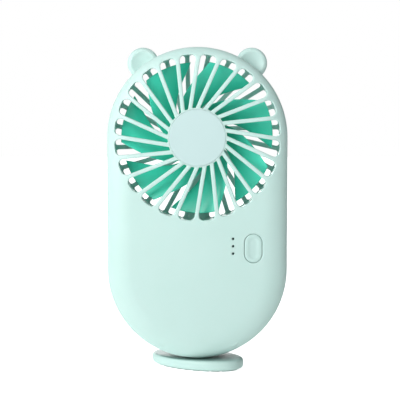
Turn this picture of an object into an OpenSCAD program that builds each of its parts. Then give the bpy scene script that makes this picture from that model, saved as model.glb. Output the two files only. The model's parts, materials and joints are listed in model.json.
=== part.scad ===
/* [Body] */
// Width of the body, which is also the diameter of its round ends
body_w = 66; // [65.6:0.2:68]
// Distance between the centres of the two round ends
end_gap = 48.3; // [48:0.1:52]
// Thickness of the body, front to back
body_t = 26; // [26:0.2:28]
// Thickness of the side walls
wall_t = 1.6; // [1.4:0.1:1.8]
// Thickness of the front and back faces
face_t = 1.8; // [1.6:0.1:1.9]
// How far the rounded edge reaches in over a face
edge_in = 9; // [8:0.5:10]
// How far the rounded edge falls back from a face
edge_deep = 4.5; // [4:0.1:5]

/* [Ears] */
// Radius of a round ear
ear_r = 5.75; // [5:0.25:6]
// Distance of an ear's centre from the fan axis
ear_reach = 33.8; // [33:0.2:35]
// Angle of an ear from the upright
ear_angle = 36.2; // [30:0.2:42]
// Thickness of an ear, front to back
ear_t = 11; // [9:0.5:13]

/* [Grilles] */
// Radius of the closed centre of a grille
hub_r = 10.8; // [10.8:0.1:11.6]
// Width of a front bar
front_bar_w = 1.5; // [1.3:0.1:1.8]
// Distance by which a front bar passes the fan axis
front_bar_lean = 4.24; // [3.6:0.02:4.4]
// Width of a rear bar
rear_bar_w = 1.7; // [1.4:0.1:2]
// Distance by which a rear bar passes the fan axis
rear_bar_lean = 3; // [2:0.1:3.6]

/* [Impeller] */
// Radius at the blade tips
tip_r = 27.9; // [26:0.1:29]
// Pitch of a blade
blade_pitch = 26; // [20:1:27]
// Thickness of a blade
blade_t = 1; // [0.8:0.1:1.2]

/* [Button and lights] */
// Distance of the button to the right of the fan axis
button_x = 20.4; // [20:0.1:21]
// Distance of the button below the fan axis
button_drop = 40.3; // [39.8:0.1:41]
// Width of the button
button_w = 6.4; // [6:0.1:7.2]
// Height of the button
button_h = 10.5; // [9.6:0.1:11]
// Distance of the lights to the right of the fan axis
light_x = 13; // [12.6:0.1:13.3]
// Distance between two lights
light_pitch = 2.7; // [2.4:0.1:2.8]

/* [Foot] */
// Length of the foot plate
foot_l = 37.6; // [35:0.2:40]
// Width of the foot plate
foot_w = 23; // [21:0.2:25]
// Height of the foot plate's top above the ground
foot_h = 4.2; // [4.2:0.1:4.8]
// Angle by which the foot is turned from the line of the body
foot_turn = 32; // [0:1:90]

/* [Hidden] */
$fn = 96;
e = 0.01;
cut = 1;

// Body
end_r = body_w / 2;
half_t = body_t / 2;
foot_gap = 0.4;
low_z = foot_h + foot_gap + end_r;
fan_z = low_z + end_gap;
in_r = end_r - wall_t;
in_t = half_t - face_t;
seam = 0.25;
edge_steps = 10;

// Grilles
bars = 24;
bar_pitch = 360 / bars;
duct_r = in_r;
duct_t = 1.2;
front_slot_r = in_r - 1.2;
rear_hub_r = hub_r + 0.4;
rear_slot_r = in_r - 0.2;
front_slot_round = 1.8;
rear_slot_round = 0.8;
root_round = 0.3;
front_bar_turn = 9.1;
rear_bar_turn = 13.5;
strut_w = 6.4;
strut_y = in_t - 2.2;
tunnel_w = 2.8;
cap_r = 10.3;
cap_t = 1.1;
peg_r = 1.5;

// Motor, from its front face back
shaft_r = 1;
motor_y = -2.4;
can_l = 11.2;
can_r = 8.5;
can_t = 0.7;
can_back = motor_y + can_l;
nose_r = 3;
nose_l = 1.4;
bush_r = 2.2;
bush_bore = shaft_r + 0.03;
end_cap_t = 0.8;
end_boss_l = 1;
end_cap_back = can_back + end_cap_t;
magnet_t = 1.5;
magnet_in = can_r - can_t - magnet_t;
core_r = magnet_in - 0.4;
core_y = motor_y + 3.2;
core_l = 4.4;
coil_over = 0.8;
neck_w = 2;
shoe_t = 1.2;
commutator_r = 2;
commutator_y = core_y + core_l + coil_over + 0.2;
commutator_l = 1.8;
cushion_r = 9.6;
cup_r = 10.9;
cup_y = 0.4;
retainer_t = 0.8;

// Impeller
blades = 7;
blade_step = 360 / blades;
wheel_y = 0.8 - in_t;
wheel_r = 10.6;
wheel_wall = 1.2;
wheel_back = motor_y - retainer_t - 0.6;
wheel_boss_r = 2.6;
wheel_boss_back = motor_y - nose_l - 0.5;
blade_mid_y = -5.3;
gap_mid_r = 21.4;
gap_mid_turn = 43;
gap_slope = 2.2;
gap_curve = -0.0864;
gap_zero_r = 8.6;
gap_spread = 0.18;

// Board, button and lights
board_y = -5.6;
board_t = 1;
board_front = board_y - board_t;
board_x = 5;
board_l = 24.5;
board_z = 31;
board_h = 21;
board_screws_at = [[8, 34.5], [26.5, 34.5]];
board_boss_r = 2.2;
board_screw_r = 0.8;
button_z = fan_z - button_drop;
button_gap = 0.2;
button_lip = 0.9;
button_lip_t = 0.8;
button_travel = 0.4;
lip_y = -in_t + 0.3;
plunger_y = -9.5;
plunger_r = 1.7;
plunger_l = 1;
switch_w = 6;
switch_y = -9;
light_z = button_z + 0.8;
light_r = 0.5;
lights = 3;
usb_z = 42;
usb_w = 7.6;
usb_h = 2.7;
usb_l = 6;
usb_out = end_r - 0.8;
usb_gap = 0.3;

// Battery
cell_w = 48;
cell_h = 30;
cell_t = 9;
cell_z = 20;
pad_t = 0.5;
cell_y = in_t - pad_t - cell_t;

// Case screws
case_screws_at = [[27.8, 57], [12.5, 12]];
case_boss_r = 2.6;
case_screw_r = 1.1;
case_head_r = 2.1;
case_head_y = 6;
sink_r = 2.4;

// Foot
pad_reveal = 0.5;
foot_round = 1.2;
round_steps = 5;
pad_in = 1.6;
pad_sunk = 0.3;
spindle_r = 4;
flange_r = 6.4;
flange_z = foot_h + foot_gap + 3.9;
flange_t = 1.6;
housing_r = 8.4;
housing_top = flange_z + flange_t + 1.9;
ring_r = 0.5;
ring_z = foot_h + foot_gap + 2;
foot_screw_r = 1.2;
foot_head_r = 2.4;
foot_head_t = 1.3;
foot_head_z = pad_reveal + pad_sunk + 0.1;

// Wires
wire_r = 0.4;
wire_sides = 8;
motor_leads = [
    [[-0.7, 10.3, 80.4], [-0.7, 10.3, 70], [-0.7, 10.3, 53], [-0.6, 9.6, 52], [0, 7, 51.6],
        [1.5, 3, 51.6], [3.5, -1, 51.3], [5.4, -3.6, 50.6], [6.3, -4.8, 49.4], [6.3, -5.58, 49.4]],
    [[0.7, 10.3, 80.4], [0.7, 10.3, 70], [0.7, 10.3, 53], [0.8, 9.6, 52], [1.4, 7, 51.6],
        [3, 3, 51.6], [5, -1, 51.3], [7, -3.6, 50.6], [8.2, -4.8, 49.4], [8.2, -5.58, 49.4]]];
cell_leads = [for (x = [19, 21])
    [[x, 6, 50.02], [x, 6, 51], [x, 4.6, 52.2], [x, 2, 52.6], [x, -1, 52.2], [x, -3.6, 50.8],
        [x, -4.9, 49.2], [x, -5.58, 49.2]]];

// ---------------------------------------------------------------- outlines

// A point at radius r, turned clockwise from the top by a
function clock(r, a) = [r * sin(a), r * cos(a)];
// The clockwise angle from the top of point p
function clock_of(p) = atan2(p[0], p[1]);
// A quarter of an oval with half-axes a and b, starting on the first axis
function quarter(a, b, n) = [for (i = [0:n]) [a * cos(90 * i / n), b * sin(90 * i / n)]];
function shifted(points, x, y) = [for (p = points) [p[0] + x, p[1] + y]];
// An oval with half-axes a and b
function oval(a, b, n) = [for (i = [0:n - 1]) [a * cos(360 * i / n), b * sin(360 * i / n)]];
// An upright bar with round ends, w wide and h high
function stadium(w, h) = concat(
    [for (i = [0:16]) [w / 2 * cos(180 * i / 16), (h - w) / 2 + w / 2 * sin(180 * i / 16)]],
    [for (i = [0:16]) [-w / 2 * cos(180 * i / 16), (w - h) / 2 - w / 2 * sin(180 * i / 16)]]);

// Half the section of a rounded plate: radius r, depth t from the seam
function edge_profile(r, t, a, b, chamfer, start) = concat(
    [[0, start], [r - chamfer, start], [r, start + chamfer]],
    shifted(quarter(a, b, edge_steps), r - a, t - b),
    [[0, t]]);

// The centre of a corner round of radius q, at side offset s in a bar's frame turned by d,
// and at distance f from the axis
function corner(d, s, f) = clock(f, d + asin(s / f));
function arc(c, q, from, to, n) = [for (i = [0:n]) c + clock(q, from + (to - from) * i / n)];

// The slot between two bars that pass the axis at a distance, the first turned by d, with its
// outer corners rounded by q
function slot(d, lean, w, r1, r2, q) =
    let (
        s1 = w / 2 - lean,
        s2 = -w / 2 - lean,
        d2 = d + bar_pitch,
        o1 = corner(d, s1 + q, r2 - q),
        o2 = corner(d2, s2 - q, r2 - q),
        i2 = corner(d2, s2 - root_round, r1 + root_round),
        i1 = corner(d, s1 + root_round, r1 + root_round)
    )
    concat(
        arc(o1, q, d - 90, clock_of(o1) + turn_up(d, o1), 6),
        arc(o2, q, clock_of(o2) + turn_up(d, o2), d2 + 90, 6),
        arc(i2, root_round, d2 + 90, clock_of(i2) + turn_up(d, i2) + 180, 4),
        arc(i1, root_round, clock_of(i1) + turn_up(d, i1) + 180, d + 270, 4));
// A whole turn to add where a point's angle has wrapped round below the slot's own angle
function turn_up(d, p) = 360 * round((d - clock_of(p)) / 360);

// The middle of a gap between two blades, as a clockwise angle at radius r, and half its width
function gap_turn(r) = gap_mid_turn + gap_slope * (r - gap_mid_r) + gap_curve * pow(r - gap_mid_r, 2);
function gap_half(r) = gap_spread * (r - gap_zero_r) / r * 180 / PI;
function blade_outline(r1, r2, n) = concat(
    [for (i = [0:n]) let (r = r1 + (r2 - r1) * i / n) clock(r, gap_turn(r) + gap_half(r))],
    [for (i = [1:n]) clock(r2, gap_turn(r2) + gap_half(r2) + (blade_step - 2 * gap_half(r2)) * i / n)],
    [for (i = [1:n]) let (r = r2 + (r1 - r2) * i / n) clock(r, gap_turn(r) + blade_step - gap_half(r))]);

// ---------------------------------------------------------------- placing

// Turns a shape that stands on z = 0 to point along +Y from depth y
module along_y(y, x = 0, z = 0) {
    translate([x, y, z]) rotate([-90, 0, 0]) children();
}

// The same on the fan axis
module on_axis(y) {
    along_y(y, 0, fan_z) children();
}

// Extrudes an outline drawn as seen from the front, from depth y back by h
module seen_from_front(y, h, x = 0, z = 0) {
    translate([x, y + h, z]) rotate([90, 0, 0]) linear_extrude(h) children();
}

module tube(r_out, r_in, h) {
    difference() {
        cylinder(r = r_out, h = h);
        translate([0, 0, -cut]) cylinder(r = r_in, h = h + 2 * cut);
    }
}

module both_sides() {
    children();
    mirror([1, 0, 0]) children();
}

// ---------------------------------------------------------------- shells

// The front half of the body's shape, filled: radius r, depth t from the seam
module half_pill(r, t, a, b, chamfer = 0, start = 0) {
    profile = edge_profile(r, t, a, b, chamfer, start);
    section = [for (p = profile) [p[0], -p[1]]];
    union() {
        translate([0, 0, fan_z]) rotate([90, 0, 0])
            rotate_extrude(angle = 180) polygon(profile);
        translate([0, 0, low_z]) rotate([90, 180, 0])
            rotate_extrude(angle = 180) polygon(profile);
        translate([0, 0, low_z]) linear_extrude(end_gap)
            both_sides() polygon(section);
    }
}

module outer_half() {
    half_pill(end_r, half_t, edge_in, edge_deep, seam);
}

module inner_half() {
    half_pill(in_r, in_t, edge_in - wall_t, edge_deep - face_t, 0, -cut);
}

// The front half of an ear, with its dished face
module ear_half() {
    depth = ear_t / 2;
    rim = 1.5;
    dish_r = ear_r - rim;
    dish = 0.9;
    profile = concat(
        [[0, 0], [ear_r - seam, 0], [ear_r, seam]],
        shifted(quarter(rim, rim, 6), ear_r - rim, depth - rim),
        [for (i = [1:6]) [dish_r * (1 - i / 6), depth - dish * (1 - pow(1 - i / 6, 2))]]);
    translate([ear_reach * sin(ear_angle), 0, fan_z + ear_reach * cos(ear_angle)])
        rotate([90, 0, 0]) rotate_extrude() polygon(profile);
}

// The wall that parts the air path from the lower compartment
module duct_half() {
    intersection() {
        on_axis(-in_t - e) tube(duct_r + duct_t, duct_r, in_t + e);
        translate([-end_r, -half_t, low_z]) cube([body_w, half_t, end_gap]);
    }
}

// The block round the foot's spindle, with room for its flange
module spindle_block() {
    translate([0, 0, foot_h]) cylinder(r = housing_r, h = housing_top - foot_h);
}

module spindle_room() {
    translate([0, 0, foot_h]) cylinder(r = spindle_r + 0.06, h = flange_z - foot_h);
    translate([0, 0, flange_z - 0.3]) cylinder(r = flange_r + 0.3, h = flange_t + 0.6);
}

module grille(turn, lean, w, r1, r2, q) {
    for (k = [0:bars - 1]) polygon(slot(turn + bar_pitch * k, lean, w, r1, r2, q));
}

// What both halves share: skin, ear, duct wall and spindle block
module plain_half() {
    union() {
        difference() {
            union() {
                outer_half();
                both_sides() ear_half();
            }
            inner_half();
        }
        intersection() {
            outer_half();
            union() {
                duct_half();
                spindle_block();
            }
        }
    }
}

module front_shell() {
    color([0.78, 0.91, 0.88])
    difference() {
        union() {
            plain_half();
            intersection() {
                outer_half();
                union() {
                    both_sides() for (p = case_screws_at)
                        along_y(-in_t - e, p[0], p[1]) cylinder(r = case_boss_r, h = in_t + e);
                    for (p = board_screws_at)
                        along_y(-in_t - e, p[0], p[1])
                            cylinder(r = board_boss_r, h = in_t + e + board_front);
                }
            }
        }
        seen_from_front(-half_t - cut, edge_deep + cut, 0, fan_z)
            grille(front_bar_turn, front_bar_lean, front_bar_w, hub_r, front_slot_r,
                front_slot_round);
        on_axis(-half_t - cut) cylinder(r = cap_r + 0.1, h = cap_t - 0.1 + cut);
        on_axis(-half_t - cut) cylinder(r = peg_r, h = face_t + 2 * cut);
        seen_from_front(-half_t - cut, face_t + 2 * cut, button_x, button_z)
            polygon(stadium(button_w + 2 * button_gap, button_h + 2 * button_gap));
        for (i = [0:lights - 1])
            along_y(-half_t - cut, light_x, light_z + (i - 1) * light_pitch)
                cylinder(r = light_r, h = face_t + 2 * cut);
        translate([in_r - cut, board_y - usb_gap, usb_z - usb_w / 2 - usb_gap])
            cube([wall_t + 2 * cut, usb_h + 2 * usb_gap, usb_w + 2 * usb_gap]);
        both_sides() for (p = case_screws_at)
            along_y(-9, p[0], p[1]) cylinder(r = case_screw_r, h = 10);
        for (p = board_screws_at)
            along_y(-10, p[0], p[1]) cylinder(r = board_screw_r, h = 5);
        spindle_room();
    }
}

module rear_shell() {
    rib_z = cell_z + 6;
    color([0.76, 0.90, 0.87])
    difference() {
        union() {
            mirror([0, 1, 0]) plain_half();
            intersection() {
                mirror([0, 1, 0]) outer_half();
                union() {
                    on_axis(cup_y) tube(cup_r, cushion_r, in_t + e - cup_y);
                    translate([-strut_w / 2, strut_y, fan_z - rear_slot_r - 0.8])
                        cube([strut_w, half_t - strut_y, rear_slot_r + 0.8 - cushion_r - 0.7]);
                    both_sides() {
                        for (p = case_screws_at)
                            along_y(0, p[0], p[1]) cylinder(r = sink_r + 0.9, h = half_t);
                        translate([cell_w / 2 + 0.2, cell_y + 3, rib_z])
                            cube([1, in_t + e - cell_y - 3, cell_h - 12]);
                    }
                }
            }
        }
        difference() {
            seen_from_front(half_t - edge_deep, edge_deep + cut, 0, fan_z)
                mirror([1, 0])
                    grille(rear_bar_turn, rear_bar_lean, rear_bar_w, rear_hub_r, rear_slot_r,
                        rear_slot_round);
            translate([-strut_w / 2, 0, fan_z - end_r]) cube([strut_w, body_t, end_r]);
        }
        translate([-tunnel_w / 2, strut_y + 0.8, fan_z - end_r]) cube([tunnel_w, 1.4, end_r - 8]);
        both_sides() for (p = case_screws_at) {
            along_y(-cut, p[0], p[1]) cylinder(r = case_screw_r + 0.15, h = half_t);
            along_y(case_head_y, p[0], p[1]) cylinder(r = sink_r, h = half_t);
        }
        spindle_room();
    }
}

module hub_cap() {
    color([0.80, 0.92, 0.91])
    union() {
        on_axis(-half_t - 0.1) cylinder(r = cap_r, h = cap_t);
        on_axis(-half_t) cylinder(r = peg_r, h = face_t);
    }
}

// ---------------------------------------------------------------- fan and motor

// One blade: its outline as seen from the front, cut from a pitched slab
module blade() {
    middle = gap_turn(gap_mid_r) + blade_step / 2;
    span = 2 * tip_r;
    intersection() {
        seen_from_front(-half_t, body_t) polygon(blade_outline(wheel_r - 0.6, tip_r, 10));
        rotate([0, middle, 0]) translate([0, blade_mid_y, 0]) rotate([0, 0, blade_pitch])
            translate([-span / 2, -blade_t / 2, 0]) cube([span, blade_t, span]);
    }
}

module impeller() {
    color([0.25, 0.76, 0.65])
    difference() {
        union() {
            difference() {
                on_axis(wheel_y) cylinder(r = wheel_r, h = wheel_back - wheel_y);
                on_axis(wheel_y + wheel_wall + 0.2)
                    cylinder(r = wheel_r - wheel_wall, h = wheel_back - wheel_y);
            }
            on_axis(wheel_y + wheel_wall)
                cylinder(r = wheel_boss_r, h = wheel_boss_back - wheel_y - wheel_wall);
            translate([0, 0, fan_z]) for (k = [0:blades - 1]) rotate([0, blade_step * k, 0]) blade();
        }
        on_axis(wheel_y + 0.6) cylinder(r = shaft_r, h = in_t);
    }
}

module motor_shaft() {
    color("silver")
    on_axis(wheel_y + 0.6)
        cylinder(r = shaft_r, h = end_cap_back + end_boss_l - 0.2 - wheel_y - 0.6);
}

// A three-pole iron core
module rotor_core() {
    color("dimgray")
    on_axis(core_y) difference() {
        union() {
            cylinder(r = neck_w, h = core_l);
            for (k = [0:2]) rotate([0, 0, 120 * k]) {
                translate([0, -neck_w / 2, 0]) cube([core_r - shoe_t / 2, neck_w, core_l]);
                rotate([0, 0, -50]) rotate_extrude(angle = 100)
                    translate([core_r - shoe_t, 0]) square([shoe_t, core_l]);
            }
        }
        translate([0, 0, -cut]) cylinder(r = shaft_r, h = core_l + 2 * cut);
    }
}

// A coil of wire round each pole, inside the shoes
module rotor_windings() {
    coil_in = neck_w + 0.35;
    coil_w = neck_w + 2.6;
    color([0.72, 0.38, 0.16])
    on_axis(core_y - coil_over) intersection() {
        for (k = [0:2]) rotate([0, 0, 120 * k]) difference() {
            translate([coil_in, -coil_w / 2, 0]) cube([core_r, coil_w, core_l + 2 * coil_over]);
            translate([0, -neck_w / 2, coil_over]) cube([2 * core_r, neck_w, core_l]);
        }
        cylinder(r = core_r - shoe_t - 0.1, h = core_l + 2 * coil_over);
    }
}

module commutator() {
    color([0.80, 0.50, 0.25])
    on_axis(commutator_y) tube(commutator_r, shaft_r, commutator_l);
}

module motor_can() {
    color("silver")
    difference() {
        union() {
            on_axis(motor_y) cylinder(r = can_r, h = can_l);
            on_axis(motor_y - nose_l) cylinder(r = nose_r, h = nose_l + can_t);
        }
        on_axis(motor_y + can_t) cylinder(r = can_r - can_t, h = can_l);
        on_axis(motor_y - nose_l - cut) cylinder(r = bush_r, h = nose_l + 2 * cut);
    }
}

module motor_end_cap() {
    plug_t = 0.6;
    color([0.15, 0.15, 0.16])
    difference() {
        union() {
            on_axis(can_back - plug_t) cylinder(r = can_r - can_t, h = plug_t + e);
            on_axis(can_back) cylinder(r = can_r, h = end_cap_t);
            on_axis(can_back) cylinder(r = nose_r, h = end_cap_t + end_boss_l);
        }
        on_axis(can_back - cut) cylinder(r = bush_r, h = 2 * cut + end_cap_t + end_boss_l);
    }
}

module motor_magnets() {
    color([0.22, 0.22, 0.24])
    on_axis(motor_y + 2.4) for (a = [-60, 120]) rotate([0, 0, a])
        rotate_extrude(angle = 120) translate([magnet_in, 0]) square([magnet_t, 6.6]);
}

module motor_bushes() {
    color([0.70, 0.52, 0.25])
    {
        on_axis(motor_y - nose_l) tube(bush_r, bush_bore, nose_l + can_t);
        on_axis(can_back - 0.4) tube(bush_r, bush_bore, 0.4 + end_cap_t + end_boss_l);
    }
}

// Two brushes on leaf springs that stand on the end cap
module motor_brushes() {
    block = 1.2;
    leaf_t = 0.2;
    leaf_x = commutator_r + 0.05 + block;
    color([0.78, 0.60, 0.30])
    translate([0, 0, fan_z]) both_sides() union() {
        translate([commutator_r + 0.05, commutator_y + 0.5, -block / 2])
            cube([block, 0.9, block]);
        translate([leaf_x - e, commutator_y + 0.5, -block / 2])
            cube([leaf_t, can_back - 0.6 - commutator_y - 0.5, block]);
    }
}

module motor_cushion() {
    color([0.12, 0.12, 0.12])
    on_axis(cup_y + 0.6) tube(cushion_r, can_r, can_back - 0.4 - cup_y - 0.6);
}

module motor_retainer() {
    color([0.76, 0.90, 0.87])
    difference() {
        on_axis(motor_y - retainer_t) cylinder(r = cup_r, h = cup_y + retainer_t - motor_y);
        on_axis(motor_y) cylinder(r = can_r + 0.1, h = can_l);
        on_axis(motor_y - retainer_t - cut) cylinder(r = nose_r + 0.1, h = can_l);
    }
}

// ---------------------------------------------------------------- button, board and battery

module power_button() {
    wide = button_w + 2 * button_lip;
    tall = button_h + 2 * button_lip;
    dish_t = 0.25;
    stem_r = 1.5;
    color([0.78, 0.91, 0.88])
    difference() {
        union() {
            seen_from_front(-half_t, lip_y + half_t + e, button_x, button_z)
                polygon(stadium(button_w, button_h));
            seen_from_front(lip_y, button_lip_t, button_x, button_z) polygon(stadium(wide, tall));
            along_y(lip_y, button_x, button_z) cylinder(r = stem_r, h = plunger_y - lip_y);
        }
        seen_from_front(-half_t - cut, cut + dish_t, button_x, button_z)
            polygon(stadium(button_w - 3.2, button_h - 4.2));
    }
}

module switch_plunger() {
    color([0.1, 0.1, 0.1])
    along_y(plunger_y, button_x, button_z) cylinder(r = plunger_r, h = plunger_l);
}

module switch_body() {
    room = plunger_l + 0.8;
    color([0.25, 0.25, 0.27])
    difference() {
        translate([button_x - switch_w / 2, switch_y, button_z - switch_w / 2])
            cube([switch_w, board_front - switch_y, switch_w]);
        along_y(switch_y - cut, button_x, button_z)
            cylinder(r = plunger_r + 0.1, h = cut + room + plunger_y - switch_y);
    }
}

module circuit_board() {
    color([0.08, 0.38, 0.20])
    difference() {
        translate([board_x, board_front, board_z]) cube([board_l, board_t, board_h]);
        for (p = board_screws_at)
            along_y(board_front - cut, p[0], p[1])
                cylinder(r = board_screw_r + 0.2, h = board_t + 2 * cut);
    }
}

// The chips, coil and capacitors on the back of the board: place, width and height, and rise
module board_chips() {
    chips = [[10, 40, 5, 4, 1.2], [17.5, 39, 4, 4, 1], [16, 33, 5, 5, 2.4], [12, 45.5, 2, 1.2, 0.8],
        [20.6, 46, 3, 1.6, 1]];
    color([0.12, 0.12, 0.13])
    for (c = chips) translate([c[0], board_y, c[1]]) cube([c[2], c[4], c[3]]);
}

module indicator_lights() {
    color([0.95, 0.93, 0.80])
    for (i = [0:lights - 1])
        translate([light_x - 0.4, board_front - 0.6, light_z + (i - 1) * light_pitch - 0.8])
            cube([0.8, 0.6, 1.6]);
}

module light_guide() {
    block_w = 3.2;
    block_h = 2 * light_pitch + 2.6;
    block_l = 2.6;
    sunk = 0.15;
    color([0.85, 0.90, 0.90, 0.6])
    union() {
        translate([light_x - block_w / 2, -in_t, light_z - block_h / 2])
            cube([block_w, block_l, block_h]);
        for (i = [0:lights - 1])
            along_y(-half_t + sunk, light_x, light_z + (i - 1) * light_pitch)
                cylinder(r = light_r, h = face_t - sunk + e);
    }
}

module usb_socket() {
    skin = 0.3;
    color("silver")
    difference() {
        translate([usb_out - usb_l, board_y, usb_z - usb_w / 2]) cube([usb_l, usb_h, usb_w]);
        translate([usb_out - usb_l + skin, board_y + skin, usb_z - usb_w / 2 + skin])
            cube([usb_l, usb_h - 2 * skin, usb_w - 2 * skin]);
    }
}

module usb_tongue() {
    skin = 0.3;
    tongue_t = 0.6;
    base_t = 1.2;
    color([0.1, 0.1, 0.1])
    union() {
        translate([usb_out - usb_l + skin, board_y + skin, usb_z - usb_w / 2 + skin])
            cube([base_t, usb_h - 2 * skin, usb_w - 2 * skin]);
        translate([usb_out - usb_l + skin + base_t - e, board_y + usb_h / 2 - tongue_t / 2,
                usb_z - 1.8])
            cube([usb_l - base_t - skin - 1, tongue_t, 3.6]);
    }
}

// A pan-head screw whose shank points along -Y from under its head at y = 0
module screw(shank_r, shank_l, head_r, head_t) {
    socket = head_t / 2;
    difference() {
        union() {
            along_y(-shank_l) cylinder(r = shank_r, h = shank_l + e);
            along_y(0) cylinder(r = head_r, h = head_t);
        }
        for (a = [0, 90]) rotate([0, a, 0])
            translate([-head_r * 0.6, head_t - socket, -head_r * 0.12])
                cube([head_r * 1.2, socket + cut, head_r * 0.24]);
    }
}

module board_screws() {
    color("silver")
    for (p = board_screws_at)
        translate([p[0], board_y, p[1]]) screw(board_screw_r, 4, 1.5, 1);
}

module case_screws() {
    color("silver")
    both_sides() for (p = case_screws_at)
        translate([p[0], case_head_y, p[1]]) screw(case_screw_r, 14, case_head_r, 1.4);
}

module battery_cell() {
    corner_r = 2;
    color([0.70, 0.72, 0.75])
    translate([0, cell_y, cell_z]) intersection() {
        union() {
            translate([-cell_w / 2 + corner_r, 0, 0]) cube([cell_w - 2 * corner_r, cell_t, cell_h]);
            both_sides() {
                translate([cell_w / 2 - corner_r, corner_r, 0]) cylinder(r = corner_r, h = cell_h);
                translate([cell_w / 2 - corner_r, cell_t - corner_r, 0])
                    cylinder(r = corner_r, h = cell_h);
                translate([cell_w / 2 - corner_r - e, corner_r, 0])
                    cube([corner_r + e, cell_t - 2 * corner_r, cell_h]);
            }
        }
        translate([-cell_w, -cut, 0]) cube([2 * cell_w, cell_t + 2 * cut, cell_h]);
    }
}

module battery_pad() {
    color([0.9, 0.9, 0.88])
    translate([-cell_w / 2 + 5, cell_y + cell_t, cell_z + 4]) cube([cell_w - 10, pad_t, cell_h - 8]);
}

// A round wire along a row of points, which all lie in order of its run
module wire(points) {
    last = len(points) - 1;
    function unit(v) = v / norm(v);
    function heading(i) = unit(points[min(i + 1, last)] - points[max(i - 1, 0)]);
    function ring(i) =
        let (
            h = heading(i),
            u = unit(cross(h, [1, 0, 0])),
            v = cross(h, u)
        )
        [for (k = [0:wire_sides - 1])
            points[i] + wire_r * (cos(360 * k / wire_sides) * u + sin(360 * k / wire_sides) * v)];
    rings = [for (i = [0:last]) each ring(i)];
    skin = [for (i = [0:last - 1]) for (k = [0:wire_sides - 1])
        [i * wire_sides + k, i * wire_sides + (k + 1) % wire_sides,
            (i + 1) * wire_sides + (k + 1) % wire_sides, (i + 1) * wire_sides + k]];
    ends = [[for (k = [wire_sides - 1:-1:0]) k], [for (k = [0:wire_sides - 1]) last * wire_sides + k]];
    polyhedron(rings, concat(skin, ends));
}

module motor_wires() {
    color([0.75, 0.12, 0.10])
    for (lead = motor_leads) wire(lead);
}

module battery_wires() {
    color([0.15, 0.15, 0.16])
    for (lead = cell_leads) wire(lead);
}

// ---------------------------------------------------------------- foot

// An oval slab, as much as inset smaller all round than the foot plate
module foot_slab(z, h, inset) {
    translate([0, 0, z]) linear_extrude(h)
        polygon(oval(foot_l / 2 - inset, foot_w / 2 - inset, 72));
}

// Slabs nested in each other round the plate's upper and lower edges
module foot_plate() {
    color([0.77, 0.91, 0.88])
    rotate([0, 0, -foot_turn]) difference() {
        for (i = [0:round_steps]) {
            fall = foot_round * (1 - sin(90 * i / round_steps));
            foot_slab(pad_reveal + fall, foot_h - pad_reveal - 2 * fall,
                foot_round * (1 - cos(90 * i / round_steps)));
        }
        translate([0, 0, -cut]) cylinder(r = foot_screw_r + 0.1, h = foot_h + 2 * cut);
        translate([0, 0, -cut]) cylinder(r = foot_head_r + 0.2, h = cut + foot_head_z + foot_head_t);
        foot_slab(pad_reveal - cut, cut + pad_sunk, pad_in);
    }
}

module foot_spindle() {
    color([0.77, 0.91, 0.88])
    difference() {
        union() {
            translate([0, 0, foot_h]) cylinder(r = spindle_r, h = flange_z + flange_t - foot_h);
            translate([0, 0, flange_z]) cylinder(r = flange_r, h = flange_t);
        }
        translate([0, 0, foot_h - cut]) cylinder(r = foot_screw_r, h = cut + 4.9);
        translate([0, 0, ring_z - ring_r - 0.05])
            tube(spindle_r + cut, spindle_r - 2 * ring_r, 2 * ring_r + 0.1);
    }
}

module friction_ring() {
    color([0.12, 0.12, 0.12])
    translate([0, 0, ring_z]) rotate_extrude() translate([spindle_r + 0.02 - ring_r, 0])
        circle(r = ring_r);
}

module foot_screw() {
    color("silver")
    translate([0, 0, foot_head_z + foot_head_t]) rotate([-90, 0, 0])
        screw(foot_screw_r, 6.6, foot_head_r, foot_head_t);
}

module foot_pad() {
    color([0.55, 0.60, 0.60])
    rotate([0, 0, -foot_turn]) foot_slab(0, pad_reveal + pad_sunk, pad_in + 0.1);
}

front_shell();
rear_shell();
hub_cap();
impeller();
motor_shaft();
rotor_core();
rotor_windings();
commutator();
motor_can();
motor_end_cap();
motor_magnets();
motor_bushes();
motor_brushes();
motor_cushion();
motor_retainer();
power_button();
switch_plunger();
switch_body();
circuit_board();
board_chips();
indicator_lights();
light_guide();
usb_socket();
usb_tongue();
board_screws();
battery_cell();
battery_pad();
motor_wires();
battery_wires();
case_screws();
foot_plate();
foot_spindle();
friction_ring();
foot_screw();
foot_pad();
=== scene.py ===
import json
import math

import bmesh
import bpy
from mathutils import Matrix, Vector


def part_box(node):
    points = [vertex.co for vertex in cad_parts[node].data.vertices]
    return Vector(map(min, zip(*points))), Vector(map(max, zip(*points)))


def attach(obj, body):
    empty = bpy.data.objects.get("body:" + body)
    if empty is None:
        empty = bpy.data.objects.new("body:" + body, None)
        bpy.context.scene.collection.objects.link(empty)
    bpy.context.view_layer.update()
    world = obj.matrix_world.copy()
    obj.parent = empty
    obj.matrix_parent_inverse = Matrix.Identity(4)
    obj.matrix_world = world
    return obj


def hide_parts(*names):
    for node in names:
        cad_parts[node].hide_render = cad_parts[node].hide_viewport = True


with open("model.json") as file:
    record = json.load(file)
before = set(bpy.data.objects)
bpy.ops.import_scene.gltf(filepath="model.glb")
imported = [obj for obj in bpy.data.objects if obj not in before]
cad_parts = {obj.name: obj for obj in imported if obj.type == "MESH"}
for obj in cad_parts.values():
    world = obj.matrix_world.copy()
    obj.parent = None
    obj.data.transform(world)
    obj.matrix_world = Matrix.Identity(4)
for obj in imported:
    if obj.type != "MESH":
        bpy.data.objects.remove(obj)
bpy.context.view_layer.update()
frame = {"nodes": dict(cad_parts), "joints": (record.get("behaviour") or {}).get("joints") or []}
SCENE = bpy.context.scene
MM = 0.001

# ---------------------------------------------------------------- places, from the frame

JOINTS = {joint["name"]: joint for joint in frame["joints"]}
FAN = Vector(JOINTS["fan_spin"]["pos_m"])
SHELL_LOW, SHELL_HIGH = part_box("front_shell")
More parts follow.
